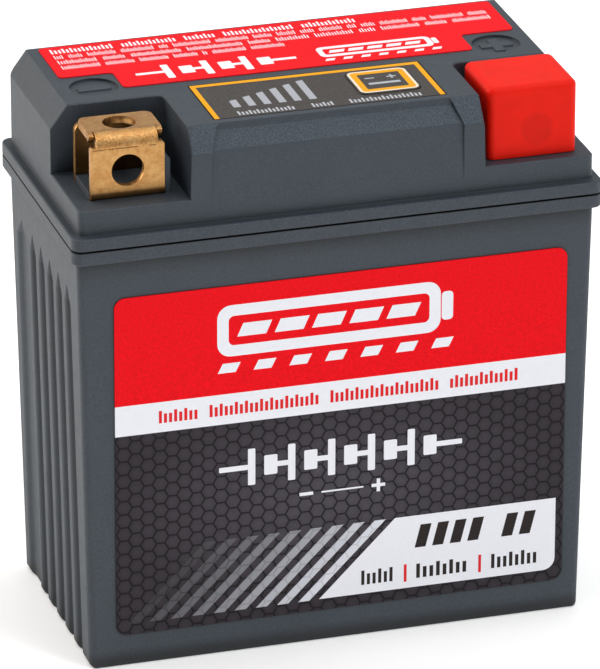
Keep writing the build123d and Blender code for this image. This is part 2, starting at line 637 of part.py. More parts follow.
def main_board():
    board = rounded_block(MAIN_W, MAIN_D, 1.5, MAIN_Z, MAIN_Z + MAIN_T)
    for x in tab_places():
        slot = block(x - TAB_W / 2 - 0.2, x + TAB_W / 2 + 0.2, TAB_Y - 0.2, TAB_Y + STRIP_T + 0.2, 0, LID_TOP)
        board -= slot
    for x in (-SENSE_X, SENSE_X):
        board -= rod(x, SENSE_Y, SENSE_R + 0.1, MAIN_Z - 1, MAIN_Z + MAIN_T + 1)
    for x, y in post_places():
        board -= rod(x, y, SCREW_CLEAR_R, MAIN_Z - 1, MAIN_Z + MAIN_T + 1)
    return board


def on_board(places, w, d, h):
    """Box-shaped parts soldered to the top of the main board."""
    top = MAIN_Z + MAIN_T
    chips = []
    for x, y in places:
        chip = block(x - w / 2, x + w / 2, y - d / 2, y + d / 2, top, top + h)
        chips.append(fillet(chip.edges().group_by(Axis.Z)[-1], 0.2))
    return group(chips)


def board_screws():
    top = MAIN_Z + MAIN_T
    return group([screw(x, y, top, -6.0) for x, y in post_places()])


def cover_sheet():
    """Insulating sheet between the cell strips and the main board."""
    sheet = rounded_block(HOLDER_W - 4, 2 * (TAB_Y - 1.2), 1.5, COVER_Z, COVER_Z + SHEET_T)
    for x, y in post_places():
        sheet -= rod(x, y, POST_R + 0.3, COVER_Z - 1, COVER_Z + 2)
    return sheet


def base_sheet():
    top = CELL_Z - STRIP_T
    return rounded_block(HOLDER_W - 2, HOLDER_D - 1, 1.5, top - SHEET_T, top)


def base_foam():
    return rounded_block(HOLDER_W, HOLDER_D, HOLDER_R, WALL, CELL_Z - STRIP_T - SHEET_T)


def side_foam(side):
    x0 = HOLDER_W / 2
    half = SIDE_FOAM_D / 2
    pad = block(x0, x0 + SIDE_FOAM_T, -half, half, HOLDER_LOW_Z, HOLDER_HIGH_Z + HOLDER_H)
    if side < 0:
        pad = mirrored(pad)
    return fillet(pad.edges().filter_by(Axis.X), 1.0)


# ---- Internal leads ----
def lead_points():
    """Right-hand power lead: from the lug under the terminal's tail down to the main board."""
    z_top = POCKET_Z - WALL - SHEET - LUG_T - LEAD_R
    z_low = MAIN_Z + MAIN_T + LUG_T
    x_start = TERM_X - TAIL_L
    x_end = x_start - LEAD_RUN
    return [(x_start, LEAD_Y, z_top), (x_end, LEAD_Y, z_top), (x_end, LEAD_Y, z_low)]


def lead():
    points = lead_points()
    path = FilletPolyline(*points, radius=LEAD_BEND)
    profile = Plane(origin=points[0], z_dir=(-1, 0, 0)) * Circle(LEAD_R)
    return sweep(profile, path=path)


def lead_lugs():
    """Copper lug under the tail and pad lug on the board, for the right-hand lead."""
    points = lead_points()
    x, y, z = points[0]
    under = POCKET_Z - WALL - SHEET
    tongue = block(x - 1.0, x + LUG_L, y - LUG_W / 2, y + LUG_W / 2, under - LUG_T, under)
    x, y, z = points[2]
    half = PAD_W / 2
    pad = block(x - half, x + half, y - half, y + half, z - LUG_T, z)
    return [tongue, pad]


def cable_points():
    """Indicator cable: from the socket under the indicator board to the one on the main board."""
    upper_x, upper_y, lower_x, lower_y = -8.0, -8.0, 0.0, -2.0
    socket_h, straight = 3.0, 4.8
    z_top = BOARD_Z - BOARD_T - socket_h + 0.5
    z_low = MAIN_Z + MAIN_T + socket_h + 0.7
    return [
        (upper_x, upper_y, z_top), (upper_x, upper_y, z_top - straight),
        (lower_x, lower_y, z_low + straight + 0.5), (lower_x, lower_y, z_low),
    ]


def indicator_cable():
    points = cable_points()
    path = FilletPolyline(*points, radius=CABLE_BEND)
    profile = Plane(origin=points[0], z_dir=(0, 0, -1)) * Circle(CABLE_R)
    return sweep(profile, path=path)


def cable_sockets():
    """The plug housings at both ends of the indicator cable."""
    half_w, half_d = SOCKET_W / 2, SOCKET_D / 2
    points = cable_points()
    x, y, z = points[0]
    upper = block(x - half_w, x + half_w, y - half_d, y + half_d, z, BOARD_Z - BOARD_T)
    x, y, z = points[-1]
    lower = block(x - half_w, x + half_w, y - half_d, y + half_d, MAIN_Z + MAIN_T, z)
    return group([upper, lower])


# ---- All sub-parts by name ----
def assembly():
    parts = {
        "case": case(),
        "lid": lid(),
        "negative_terminal": mirrored(terminal()),
        "positive_terminal": terminal(),
        "terminal_cap": terminal_cap(),
        "front_label": front_label(),
        "top_label": top_label(),
        "charge_panel": charge_panel(),
        "level_windows": level_windows(),
        "test_button": test_button(),
        "switch_plunger": switch_plunger(),
        "switch_body": switch_body(),
        "indicator_board": indicator_board(),
        "level_leds": level_leds(),
        "light_guide": light_guide(),
        "indicator_screws": indicator_screws(),
        "cell_holder_low": holder(HOLDER_LOW_Z, []),
        "cell_holder_high": holder(HOLDER_HIGH_Z, post_places()),
        "strip_negative": top_strip([COLUMNS[0]], COLUMNS[0]),
        "strip_middle": top_strip([COLUMNS[1], COLUMNS[2]], 0.0),
        "strip_positive": top_strip([COLUMNS[3]], COLUMNS[3]),
        "strip_low_left": bottom_strip([COLUMNS[0], COLUMNS[1]], -SENSE_X),
        "strip_low_right": bottom_strip([COLUMNS[2], COLUMNS[3]], SENSE_X),
        "sense_leads": sense_leads(),
        "main_board": main_board(),
        "power_switches": on_board(SWITCHES, *SWITCH_SIZE),
        "controller_chip": on_board(CONTROLLER, *CONTROLLER_SIZE),
        "current_shunts": on_board(SHUNTS, *SHUNT_SIZE),
        "balance_resistors": on_board(RESISTORS, *RESISTOR_SIZE),
        "board_screws": board_screws(),
        "cover_sheet": cover_sheet(),
        "base_sheet": base_sheet(),
        "base_foam": base_foam(),
        "side_foam_left": side_foam(-1),
        "side_foam_right": side_foam(1),
        "negative_lead": mirrored(lead()),
        "positive_lead": lead(),
        "lead_lugs": group(lead_lugs() + [mirrored(lug) for lug in lead_lugs()]),
        "indicator_cable": indicator_cable(),
        "cable_sockets": cable_sockets(),
    }
    for n, seat in enumerate(cell_seats()):
        parts[f"cell_{n + 1}"] = seat * cell()
    parts["cell_rings"] = group([seat * cell_ring() for seat in cell_seats()])
    return parts


os.makedirs("parts", exist_ok=True)
for name, shape in assembly().items():
    export_step(shape, f"parts/{name}.step")
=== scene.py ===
import json
import math

import bmesh
import bpy
from mathutils import Matrix, Vector
from mathutils.geometry import tessellate_polygon


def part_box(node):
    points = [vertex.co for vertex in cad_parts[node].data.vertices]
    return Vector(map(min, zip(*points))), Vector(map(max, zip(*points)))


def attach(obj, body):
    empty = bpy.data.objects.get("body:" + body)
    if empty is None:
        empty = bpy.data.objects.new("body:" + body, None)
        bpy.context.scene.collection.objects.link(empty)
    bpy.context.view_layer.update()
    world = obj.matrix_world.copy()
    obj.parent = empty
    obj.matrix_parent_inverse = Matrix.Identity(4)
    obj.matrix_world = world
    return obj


# Small lithium starter battery. The CAD frame gives every solid piece; this script gives them
# their materials, softens their edges, and adds the printed graphics as thin films.

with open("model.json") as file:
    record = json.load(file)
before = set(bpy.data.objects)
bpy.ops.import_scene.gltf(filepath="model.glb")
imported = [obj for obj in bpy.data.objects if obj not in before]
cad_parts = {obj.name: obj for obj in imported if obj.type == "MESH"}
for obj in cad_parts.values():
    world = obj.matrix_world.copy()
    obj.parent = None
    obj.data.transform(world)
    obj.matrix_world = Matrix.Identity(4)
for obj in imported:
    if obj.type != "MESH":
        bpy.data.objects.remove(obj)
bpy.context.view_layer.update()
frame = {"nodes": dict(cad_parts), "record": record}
nodes = frame["nodes"]
MM = 0.001


# ---------------------------------------------------------------- shader helpers
def srgb(r, g, b):
    """Linear colour from 0-255 display values."""
    def linear(v):
        v /= 255
        return v / 12.92 if v <= 0.04045 else ((v + 0.055) / 1.055) ** 2.4
    return linear(r), linear(g), linear(b)


def shade(colour, factor):
    """The colour made lighter or darker."""
    return tuple(min(1.0, c * factor) for c in colour)


class Field:
    """A value that varies over a surface. Arithmetic on it adds Math nodes to its shader."""

    def __init__(self, shader, socket):
        self.shader = shader
        self.socket = socket

    def op(self, operation, *others, clamp=False):
        node = self.shader.add("ShaderNodeMath", operation=operation, use_clamp=clamp)
        for slot, value in zip(node.inputs, (self,) + others):
            self.shader.feed(slot, value)
        return Field(self.shader, node.outputs[0])

    def __add__(self, other):
        return self.op("ADD", other)

    def __sub__(self, other):
        return self.op("SUBTRACT", other)

    def __mul__(self, other):
        return self.op("MULTIPLY", other)

    def __truediv__(self, other):
        return self.op("DIVIDE", other)

    __radd__ = __add__
    __rmul__ = __mul__

    def __rsub__(self, other):
        return self * -1.0 + other

    def abs(self):
        return self.op("ABSOLUTE")

    def fraction(self):
        return self.op("FRACT")

    def least(self, other):
        return self.op("MINIMUM", other)

    def most(self, other):
        return self.op("MAXIMUM", other)

    def power(self, exponent):
        return self.op("POWER", exponent)

    def above(self, edge, soft=0.02):
        """1 above the edge, 0 below it, with a soft step between."""
        return ((self - edge) / soft).op("ADD", 0.5, clamp=True)

    def below(self, edge, soft=0.02):
        return 1.0 - self.above(edge, soft)

    def within(self, low, high, soft=0.02):
        return self.above(low, soft) * self.below(high, soft)


class Shader:
    """One material: a Principled shader and short calls for the nodes that feed it. Sizes are in mm."""

    def __init__(self, name):
        self.material = bpy.data.materials.new(name)
        self.material.use_nodes = True
        self.tree = self.material.node_tree
        self.tree.nodes.clear()
        self.bsdf = self.add("ShaderNodeBsdfPrincipled")
        output = self.add("ShaderNodeOutputMaterial")
        self.tree.links.new(self.bsdf.outputs[0], output.inputs[0])
        self.coordinates = self.add("ShaderNodeTexCoord")
        self.height = None

    def add(self, kind, **settings):
        node = self.tree.nodes.new(kind)
        for key, value in settings.items():
            setattr(node, key, value)
        return node

    def feed(self, socket, value):
        if isinstance(value, Field):
            self.tree.links.new(value.socket, socket)
        elif isinstance(value, bpy.types.NodeSocket):
            self.tree.links.new(value, socket)
        elif isinstance(value, tuple) and socket.type == "RGBA":
            socket.default_value = (*value, 1.0)
        else:
            socket.default_value = value

    def set(self, **inputs):
        """Feeds Principled inputs, named with underscores for spaces."""
        for key, value in inputs.items():
            self.feed(self.bsdf.inputs[key.replace("_", " ").title().replace("Ior", "IOR")], value)
        return self

    def axes(self, output="Object", unit=MM):
        """The three parts of a coordinate: place in mm, or the facing direction."""
        split = self.add("ShaderNodeSeparateXYZ")
        self.tree.links.new(self.coordinates.outputs[output], split.inputs[0])
        return [Field(self, out) / unit for out in split.outputs]

    def scaled(self, size, stretch):
        """Place divided by a feature size, and stretched along the axes."""
        node = self.add("ShaderNodeVectorMath", operation="MULTIPLY")
        self.tree.links.new(self.coordinates.outputs["Object"], node.inputs[0])
        node.inputs[1].default_value = [1.0 / (size * MM * s) for s in stretch]
        return node.outputs[0]

    def noise(self, size, detail=2.0, rough=0.5, stretch=(1, 1, 1)):
        node = self.add("ShaderNodeTexNoise")
        self.tree.links.new(self.scaled(size, stretch), node.inputs["Vector"])
        self.feed(node.inputs["Scale"], 1.0)
        self.feed(node.inputs["Detail"], detail)
        self.feed(node.inputs["Roughness"], rough)
        return Field(self, node.outputs["Fac"])

    def pebbles(self, size):
        """Distance field of scattered cells."""
        node = self.add("ShaderNodeTexVoronoi", feature="F1")
        self.tree.links.new(self.scaled(size, (1, 1, 1)), node.inputs["Vector"])
        self.feed(node.inputs["Scale"], 1.0)
        return Field(self, node.outputs["Distance"])

    def mix(self, amount, a, b):
        """Colour a where amount is 0, b where it is 1."""
        node = self.add("ShaderNodeMix", data_type="RGBA", clamp_factor=True)
        self.feed(node.inputs[0], amount)
        self.feed(node.inputs[6], a)
        self.feed(node.inputs[7], b)
        return node.outputs[2]

    def mottled(self, colour, spread, size, detail=3.0):
        """A colour that drifts a little lighter and darker."""
        drift = self.noise(size, detail, 0.6).above(0.5, 0.4)
        return self.mix(drift, shade(colour, 1 - spread), shade(colour, 1 + spread))

    def relief(self, height, depth):
        """Adds a bump of that depth in mm on top of any bump there already."""
        node = self.add("ShaderNodeBump")
        self.feed(node.inputs["Strength"], 1.0)
        self.feed(node.inputs["Distance"], depth * MM)
        self.feed(node.inputs["Height"], height)
        if self.height is not None:
            self.tree.links.new(self.height, node.inputs["Normal"])
        self.height = node.outputs["Normal"]
        self.feed(self.bsdf.inputs["Normal"], self.height)
        return self


def paint(material, *names):
    for name in names:
        slots = nodes[name].data.materials
        slots.clear()
        slots.append(material)


# ---------------------------------------------------------------- materials seen from outside
SLATE = srgb(51, 60, 69)
SEAM_LOW, SEAM_HIGH = 89.38, 89.82             # open joint between case and lid, which gets a painted shadow
EDGE_R = 0.35                                  # how far the plastic's edges look rounded
PAINTED_SHADE_REACH, PAINTED_SHADE_MOST = 4.0, 0.92        # reach of the painted shade in corners, and its limit
# Radius of the painted shade over the hole, seen through the cap.
HOLE_R = 3.25
SHEET, SKIN = 1.5, 0.05                        # thickness of the brass; allowance at its faces
BRASS_BEND, BRASS_FOOT = 2.8, 98.9             # bend's depth from the corner; height below which the plate's foot gets painted shade
SHADE_CREASE_LOW, SHADE_CREASE_HIGH = 0.22, 0.02           # band of painted shade in the crease under the bend
CAN_END = 1.3                                  # bare metal at each end of a cell


def case_plastic(name, shadow, coarse_front=False):
    """Slate-grey moulding with a fine spark-eroded grain, coarser on the lid's front slopes.

    Shadow says how strongly painted shade darkens its corners and grooves. The open seam gets a painted
    shadow, and the lid's up-facing front slopes a lighter tone that is partly the coarse grain's paler
    look and partly painted light from above.
    """
    s = Shader(name)
    edge = s.add("ShaderNodeBevel", samples=6)
    edge.inputs["Radius"].default_value = EDGE_R * MM
    s.height = edge.outputs["Normal"]
    z = s.axes()[2]
    grain = s.noise(0.30, 2.0, 0.6)
    colour = s.mottled(SLATE, 0.05, 14.0)
    colour = s.mix(grain.below(0.46, 0.16) * 0.30, colour, shade(SLATE, 0.45))
    colour = s.mix(grain.above(0.56, 0.12) * 0.26, colour, shade(SLATE, 1.9))
    s.set(Roughness=0.50 + 0.10 * s.noise(3.0))
    if coarse_front:
        _, ny, nz = s.axes("Normal", 1.0)
        slope = ny.below(-0.5, 0.1) * nz.within(0.3, 0.8, 0.1)
        lumps = s.noise(0.28, 2.0, 0.6)
        # The up-facing front slopes are made lighter: partly the coarse grain's paler look, partly
        # painted light from above.
        colour = s.mix(slope, colour, shade(SLATE, 1.3))
        colour = s.mix(lumps.below(0.47, 0.14) * slope * 0.45, colour, shade(SLATE, 0.6))
        colour = s.mix(lumps.above(0.54, 0.12) * slope * 0.5, colour, shade(SLATE, 2.5))
        s.relief(lumps * slope, 0.14)
    # Painted shade: corners, grooves and recesses are darkened by how enclosed they are.
    shade_occlusion = s.add("ShaderNodeAmbientOcclusion", samples=8)
    shade_occlusion.inputs["Distance"].default_value = PAINTED_SHADE_REACH * MM
    painted_crevice_shade = ((1.0 - Field(s, shade_occlusion.outputs["AO"])) * shadow).least(PAINTED_SHADE_MOST)
    colour = s.mix(painted_crevice_shade, colour, shade(SLATE, 0.18))
    # Painted shadow in the open seam between case and lid.
    painted_seam_shadow = z.within(SEAM_LOW, SEAM_HIGH, 0.01)
    s.set(Base_Color=s.mix(painted_seam_shadow * 0.9, colour, shade(SLATE, 0.08)))
    s.relief(grain, 0.06)
    return s.material


def brass(name):
    """Stamped brass sheet: satin flats with fine rolling marks, and a stretched, pebbly bend. Painted
    shade darkens the crease under the bend, the legs' inner faces and the plate's foot.
    """
    s = Shader(name)
    _, y, z = s.axes()
    low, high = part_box("positive_terminal")
    top, front, back = high.z / MM, low.y / MM, high.y / MM
    bend = z.above(top - BRASS_BEND, 0.3) * y.below(front + BRASS_BEND, 0.3)
    # Painted shade: a broken dark line in the crease under the bend.
    painted_crease_shade = z.within(top - BRASS_BEND - SHADE_CREASE_LOW, top - BRASS_BEND - SHADE_CREASE_HIGH, 0.1)
    painted_crease_shade = painted_crease_shade * y.below(front + 0.3)
    painted_crease_shade = painted_crease_shade * s.noise(2.6, 3.0, 0.7, (1.0, 1.0, 4.0)).above(0.46, 0.1)
    warm, pale, brown = srgb(184, 132, 76), srgb(206, 163, 106), srgb(106, 64, 28)
    blotch = s.noise(1.5, 4.0, 0.7)
    colour = s.mix(blotch.above(0.5, 0.4), warm, pale)
    stain = s.noise(0.9, 5.0, 0.7).above(0.60, 0.2) * 0.35
    # Painted shade on the legs' inner faces and under the top plate.
    inside = y.within(front + SHEET - SKIN, back - SHEET + SKIN, 0.02) * z.below(top - SHEET + SKIN)
    # Painted shade at the plate's foot, where it meets the lid.
    painted_foot_shade = z.below(BRASS_FOOT, 0.5) * 0.45
    # Real stains, and the painted shade at the foot, both in brown.
    colour = s.mix(stain.most(painted_foot_shade), colour, brown)
    colour = s.mix(painted_crease_shade * 0.8, colour, shade(brown, 0.4))
    colour = s.mix(inside * 0.75, colour, shade(brown, 0.35))
    pebble = s.noise(0.38, 3.0, 0.6, (0.7, 1.0, 1.2))
    colour = s.mix(bend * pebble.below(0.46, 0.1) * 0.35, colour, brown)
    s.set(Base_Color=colour, Metallic=1.0)
    s.set(Roughness=0.34 - 0.08 * bend + 0.12 * s.noise(0.8, 3.0))
    s.relief(s.noise(0.35, 3.0, 0.6), 0.012)
    s.relief(pebble * bend, 0.12)
    return s.material


def cap_vinyl(name):
    """Soft red-orange cover that lets a little light through, with a faint painted shade where the hole
    lies under it.
    """
    s = Shader(name)
    x, y, z = s.axes()
    hole = next(m for m in frame["record"]["mounts"] if m["name"] == "positive_front_hole")
    hole_x, hole_y, hole_z = (v / MM for v in hole["pos_m"])
    # Painted shade: a faint dark disc where the hole lies behind the cap.
    painted_hole_shade = ((x - hole_x).power(2.0) + (z - hole_z).power(2.0)).power(0.5)
    painted_hole_shade = painted_hole_shade.below(HOLE_R, 0.9) * y.below(hole_y)
    red = srgb(250, 26, 0)
    colour = s.mix(painted_hole_shade * 0.22, s.mottled(red, 0.05, 5.0), shade(red, 0.4))
    s.set(Base_Color=colour, Roughness=0.46 + 0.10 * s.noise(1.2, 3.0), Specular_IOR_Level=0.18)
    s.set(Subsurface_Weight=0.4, Subsurface_Radius=(1.0, 0.12, 0.04), Subsurface_Scale=1.2 * MM)
    s.set(Transmission_Weight=0.15, IOR=1.4)
    s.relief(s.noise(0.5, 2.0, 0.5), 0.012)
    return s.material


def hexagons(x, y, column, row):
    """Flat-topped hexagons: 0 on their edges, rising to 1 in the middle of each."""
    def rings(shift_x, shift_y):
        u = (((x + shift_x) / (2 * column)).fraction() - 0.5).abs() * (2 * column)
        v = (((y + shift_y) / row).fraction() - 0.5).abs() * row
        return v.most(v * 0.5 + u * (math.sqrt(3) / 2))
    near = rings(0.0, 0.0).least(rings(column, row / 2))
    return 1.0 - near / (row / 2)


# Bands of the front label, as heights above the base in mm.
BAND_RED, BAND_WHITE = 55.7, 49.3
LABEL_RED = srgb(238, 0, 18)
STRIPE_LOW, STRIPE_HIGH = 8.8, 24.5
STRIPE_X, STRIPE_PITCH, STRIPE_COUNT, STRIPE_W = -8.0, 4.35, 9, 2.3
HEX_COLUMN, HEX_ROW, HEX_X = 2.458, 2.833, -0.8
GLOW_W, GLOW_H, GLOW_Z = 46.0, 24.0, 32.0      # paler middle of the black band: half sizes and height
PAPER = srgb(240, 241, 247)
FRAME_YELLOW = srgb(240, 166, 0)


def label_stripes(x, z, net):
    """How much white shows: slanted stripes that fade out to the left."""
    along = (STRIPE_X + STRIPE_W - (x - (z - STRIPE_LOW))) / STRIPE_PITCH
    number = along.op("FLOOR")
    stripe = along.fraction().below(STRIPE_W / STRIPE_PITCH, 0.03)
    fade = ((1.0 - (number / (STRIPE_COUNT + 0.2)).power(0.8)) * 1.05).power(1.6)
    inside = z.within(STRIPE_LOW, STRIPE_HIGH, 0.06) * number.within(-0.5, STRIPE_COUNT - 0.5)
    return stripe * fade.least(0.95) * inside * (0.8 + 0.2 * net.above(0.1, 0.1))


def front_film(name):
    """Printed front label: red band, white band, and black with a hexagon net and fading stripes."""
    s = Shader(name)
    x, _, z = s.axes()
    red = s.mottled(LABEL_RED, 0.10, 0.5, 2.0)
    ink, edge, light = srgb(48, 43, 48), srgb(24, 22, 25), srgb(80, 76, 83)
    net = hexagons(x + HEX_X, z, HEX_COLUMN, HEX_ROW)
    glow = 1.0 - ((x / GLOW_W).power(2.0) + ((z - GLOW_Z) / GLOW_H).power(2.0)).power(0.5)
    black = s.mix((glow.most(0.0) * 0.8 + net * 0.25) * (0.6 + 0.7 * s.noise(1.4)), ink, light)
    black = s.mix(net.below(0.12, 0.08) * 0.9, black, edge)
    black = s.mix(label_stripes(x, z, net), black, srgb(222, 224, 232))
    colour = s.mix(z.above(BAND_WHITE, 0.05), black, s.mottled(PAPER, 0.015, 1.2))
    colour = s.mix(z.above(BAND_RED, 0.05), colour, red)
    s.set(Base_Color=colour, Roughness=0.46 + 0.10 * s.noise(0.9, 3.0), Specular_IOR_Level=0.12)
    s.relief(s.noise(0.55, 2.0), 0.006)
    return s.material


def film(name, colour, spread=0.04, rough=0.4):
    """Printed plastic film in one ink, with the slight unevenness of print and film."""
    s = Shader(name)
    s.set(Base_Color=s.mottled(colour, spread, 0.8), Roughness=rough + 0.10 * s.noise(1.1, 3.0))
    s.set(Specular_IOR_Level=0.14)
    s.relief(s.noise(0.5, 2.0), 0.006)
    return s.material


def speckled_film(name):
    """Dark grey-brown film of the charge indicator, printed with a fine speckle."""
    s = Shader(name)
    dark, brown, pale = srgb(40, 35, 33), srgb(62, 55, 50), srgb(104, 96, 90)
    speckle = s.noise(0.42, 3.0, 0.7)
    colour = s.mix(speckle.above(0.5, 0.22), dark, brown)
    colour = s.mix(speckle.above(0.66, 0.06) * 0.6, colour, pale)
    s.set(Base_Color=colour, Roughness=0.42 + 0.12 * s.noise(0.7, 3.0))
    s.relief(speckle, 0.02)
    return s.material


# ---------------------------------------------------------------- materials inside the case
def moulded(name, colour, rough=0.5, grain=0.4, depth=0.02):
    """Moulded plastic with a fine grain."""
    s = Shader(name)
    s.set(Base_Color=s.mottled(colour, 0.07, 5.0), Roughness=rough + 0.12 * s.noise(1.4, 3.0))
    s.relief(s.noise(grain, 3.0, 0.6), depth)
    return s.material


def metal(name, colour, rough, stretch=(1, 1, 1)):
    """Plain metal with drawn or rolled marks along the axis whose stretch is largest."""
    s = Shader(name)
    marks = s.noise(0.35, 3.0, 0.6, stretch)
    s.set(Base_Color=s.mottled(colour, 0.10, 2.4), Metallic=1.0)
    s.set(Roughness=rough + 0.18 * marks)
    s.relief(marks, 0.01)
    return s.material


def circuit_board(name):
    """Green solder mask over copper runs, over a faint glass weave."""
    s = Shader(name)
    x, y, _ = s.axes()
    mask, run, bare = srgb(24, 92, 52), srgb(48, 132, 74), srgb(14, 66, 38)
    lanes = ((y / 2.6).fraction() - 0.5).abs().below(0.2, 0.06)
    rows = ((x / 7.3).fraction() - 0.5).abs().below(0.42, 0.02)
    weave = ((x / 0.5).fraction() - 0.5).abs() * ((y / 0.5).fraction() - 0.5).abs()
    colour = s.mix(lanes * rows * 0.7, mask, run)
    colour = s.mix(weave * 1.2, colour, bare)
    s.set(Base_Color=s.mix(s.noise(4.0) * 0.25, colour, bare), Roughness=0.28 + 0.14 * s.noise(1.0))
    s.relief(lanes * rows, 0.03)
    return s.material


def clear_moulding(name, tint):
    """Clear plastic, a little milky."""
    s = Shader(name)
    s.set(Base_Color=s.mottled(tint, 0.03, 2.0), Roughness=0.22 + 0.12 * s.noise(0.6, 3.0))
    s.set(Transmission_Weight=0.6, IOR=1.49)
    s.relief(s.noise(0.4, 2.0), 0.006)
    return s.material


def cell_sleeve(name):
    """Heat-shrunk sleeve, with the bare can's ends and shoulders at the top and bottom."""
    s = Shader(name)
    low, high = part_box("cell_1")
    z = s.axes()[2]
    shown = z.within(low.z / MM + CAN_END, high.z / MM - CAN_END, 0.1)
    sleeve, steel = srgb(28, 92, 138), srgb(176, 176, 178)
    wrinkle = s.noise(1.1, 4.0, 0.6, (1.0, 1.0, 4.0))
    colour = s.mix(shown, s.mottled(steel, 0.06, 1.5), s.mottled(sleeve, 0.08, 3.0))
    s.set(Base_Color=colour, Metallic=1.0 - shown, Roughness=0.26 + 0.16 * wrinkle)
    s.relief(wrinkle * shown, 0.05)
    return s.material


def fibre_sheet(name):
    """Pressed paper with fibres lying both ways."""
    s = Shader(name)
    fibres = s.noise(0.5, 4.0, 0.7, (5.0, 1.0, 1.0)).most(s.noise(0.5, 4.0, 0.7, (1.0, 5.0, 1.0)))
    colour = s.mix(fibres, srgb(168, 158, 124), srgb(214, 206, 176))
    s.set(Base_Color=colour, Roughness=0.74 + 0.12 * fibres)
    s.relief(fibres, 0.04)
    return s.material


def foam(name):
    """Grey open foam."""
    s = Shader(name)
    bubbles = s.pebbles(0.9)
    colour = s.mix(bubbles.above(0.42, 0.4), srgb(58, 58, 60), srgb(104, 104, 107))
    s.set(Base_Color=colour, Roughness=0.82 + 0.10 * s.noise(2.0))
    s.relief(bubbles, 0.22)
    return s.material


def jacket(name, colour):
    """Soft silicone jacket of a lead."""
    s = Shader(name)
    s.set(Base_Color=s.mottled(colour, 0.10, 3.0), Roughness=0.46 + 0.14 * s.noise(0.9, 3.0))
    s.set(Sheen_Weight=0.2)
    s.relief(s.noise(0.3, 3.0), 0.02)
    return s.material


def paint_nodes():
    paint(case_plastic("case_plastic", 3.6), "case")
    paint(case_plastic("lid_plastic", 0.4, coarse_front=True), "lid")
    paint(brass("terminal_brass"), "negative_terminal", "positive_terminal")
    paint(cap_vinyl("cap_red"), "terminal_cap")
    paint(front_film("label_front"), "front_label")
    paint(film("label_top", LABEL_RED, 0.08, rough=0.52), "top_label")
    paint(speckled_film("panel_film"), "charge_panel", "test_button")
    paint(film("window_frosted", srgb(170, 173, 180), rough=0.45), "level_windows")
    paint(moulded("switch_black", srgb(34, 34, 36)), "switch_body", "switch_plunger")
    paint(circuit_board("board_green"), "indicator_board", "main_board")
    paint(moulded("led_lens", srgb(232, 226, 190), 0.25, 0.3, 0.005), "level_leds")
    paint(clear_moulding("guide_clear", srgb(226, 232, 238)), "light_guide")
    paint(metal("screw_steel", srgb(190, 190, 194), 0.28), "indicator_screws", "board_screws")
    paint(moulded("holder_black", srgb(48, 48, 51), 0.55), "cell_holder_low", "cell_holder_high")
    strips = ("strip_negative", "strip_middle", "strip_positive", "strip_low_left", "strip_low_right")
    paint(metal("nickel", srgb(196, 192, 182), 0.26, (6, 1, 1)), *strips)
    paint(metal("wire_copper", srgb(206, 146, 112), 0.28, (1, 1, 5)), "sense_leads", "lead_lugs")
    chips = ("power_switches", "controller_chip", "balance_resistors")
    paint(moulded("chip_black", srgb(38, 38, 41), 0.4, 0.2, 0.015), *chips)
    paint(metal("shunt_metal", srgb(168, 166, 160), 0.34, (4, 1, 1)), "current_shunts")
    paint(fibre_sheet("fish_paper"), "cover_sheet", "base_sheet", "cell_rings")
    paint(foam("foam_grey"), "base_foam", "side_foam_left", "side_foam_right")
    paint(jacket("lead_black", srgb(34, 34, 36)), "negative_lead", "indicator_cable")
    paint(jacket("lead_red", srgb(178, 30, 26)), "positive_lead")
    paint(moulded("socket_white", srgb(222, 218, 204), 0.4), "cable_sockets")
    paint(cell_sleeve("cell_wrap"), *[f"cell_{n}" for n in range(1, 9)])


# ---------------------------------------------------------------- softened edges
BRASS_EDGE, EDGE_SEGMENTS, EDGE_ANGLE = 0.16, 2, 38
WELD_GAP = 0.002


def soften(name, width):
    """Rounds a CAD node's sharp edges as they are drawn, leaving its own mesh alone."""
    piece = nodes[name]
    weld = piece.modifiers.new("weld", "WELD")
    weld.merge_threshold = WELD_GAP * MM
    bevel = piece.modifiers.new("bevel", "BEVEL")
    bevel.width = width * MM
    bevel.segments = EDGE_SEGMENTS
    bevel.limit_method = "ANGLE"
    bevel.angle_limit = math.radians(EDGE_ANGLE)
    bevel.harden_normals = False
    normals = piece.modifiers.new("normals", "WEIGHTED_NORMAL")
    normals.keep_sharp = False
    normals.weight = 80


# ---------------------------------------------------------------- printed films
INK = 0.03          # thickness of a printed mark, in mm
SUNK = 0.01         # how far a mark reaches into the film under it
CORNER_STEPS = 6    # straight pieces in a rounded corner


def rounded(points, radius):
    """Outline with its corners rounded; radius is one number or one for each corner."""
    radii = radius if isinstance(radius, (list, tuple)) else [radius] * len(points)
    outline = []
    for n, corner in enumerate(points):
        corner = Vector(corner)
        before = (Vector(points[n - 1]) - corner).normalized()
        after = (Vector(points[(n + 1) % len(points)]) - corner).normalized()
        if radii[n] <= 0:
            outline.append(tuple(corner))
            continue
        half = before.angle(after) / 2
        centre = corner + (before + after).normalized() * (radii[n] / math.sin(half))
        start = corner + before * (radii[n] / math.tan(half)) - centre
        end = corner + after * (radii[n] / math.tan(half)) - centre
        turn = start.angle_signed(end)
        for step in range(CORNER_STEPS + 1):
            point = centre + Matrix.Rotation(-turn * step / CORNER_STEPS, 2) @ start
            outline.append(tuple(point))
    return outline


def box_outline(x0, x1, y0, y1, radius=0.0):
    return rounded([(x0, y0), (x1, y0), (x1, y1), (x0, y1)], radius)


def slanted(x0, x1, y0, y1, lean):
    """Parallelogram leaning to the right by lean times its height."""
    shift = lean * (y1 - y0)
    return [(x0, y0), (x1, y0), (x1 + shift, y1), (x0 + shift, y1)]


